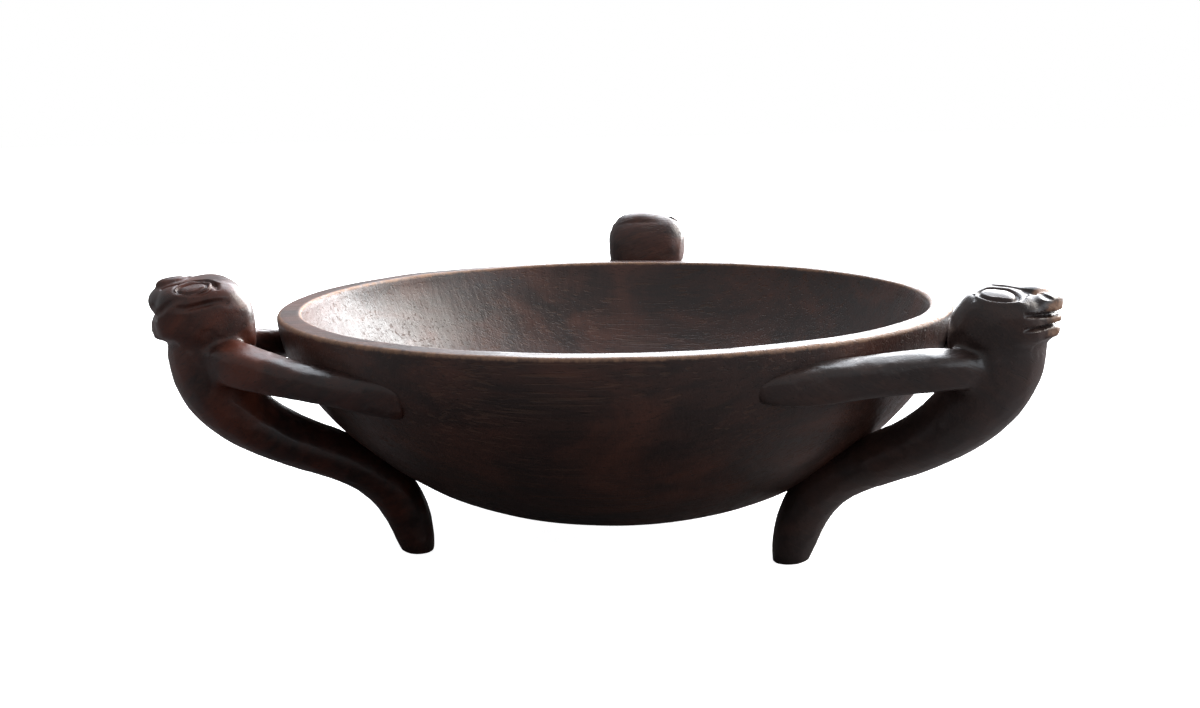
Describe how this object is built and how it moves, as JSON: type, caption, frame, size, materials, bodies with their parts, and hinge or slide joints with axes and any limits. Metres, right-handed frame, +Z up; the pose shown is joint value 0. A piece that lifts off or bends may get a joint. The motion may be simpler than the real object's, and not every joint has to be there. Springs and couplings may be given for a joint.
{
  "type": "figure bowl",
  "caption": "Shallow round wooden bowl carried just above the table by carved figures that lean outwards, each on one tapering foot with its arms round the wall.",
  "frame": {"origin": "middle of the object's footprint, on the table the feet stand on", "axes": "+Z up out of the bowl, +Y towards the back figure, +X towards the side of the right figure"},
  "size_m": [0.358, 0.3518, 0.1259],
  "materials": {
    "bowl_wood": "dark reddish-brown hardwood, hand carved and polished",
    "figure_wood": "dark reddish-brown hardwood, knife carved, polished by handling",
    "peg_wood": "plain split hardwood, unpolished"
  },
  "bodies": {
    "root": {"bowl": "bowl_wood", "left_figure": "figure_wood", "right_figure": "figure_wood", "back_figure": "figure_wood", "left_figure_hip_peg": "peg_wood", "left_figure_left_hand_peg": "peg_wood", "left_figure_right_hand_peg": "peg_wood", "right_figure_hip_peg": "peg_wood", "right_figure_left_hand_peg": "peg_wood", "right_figure_right_hand_peg": "peg_wood", "back_figure_hip_peg": "peg_wood", "back_figure_left_hand_peg": "peg_wood", "back_figure_right_hand_peg": "peg_wood"}
  },
  "joints": []
}
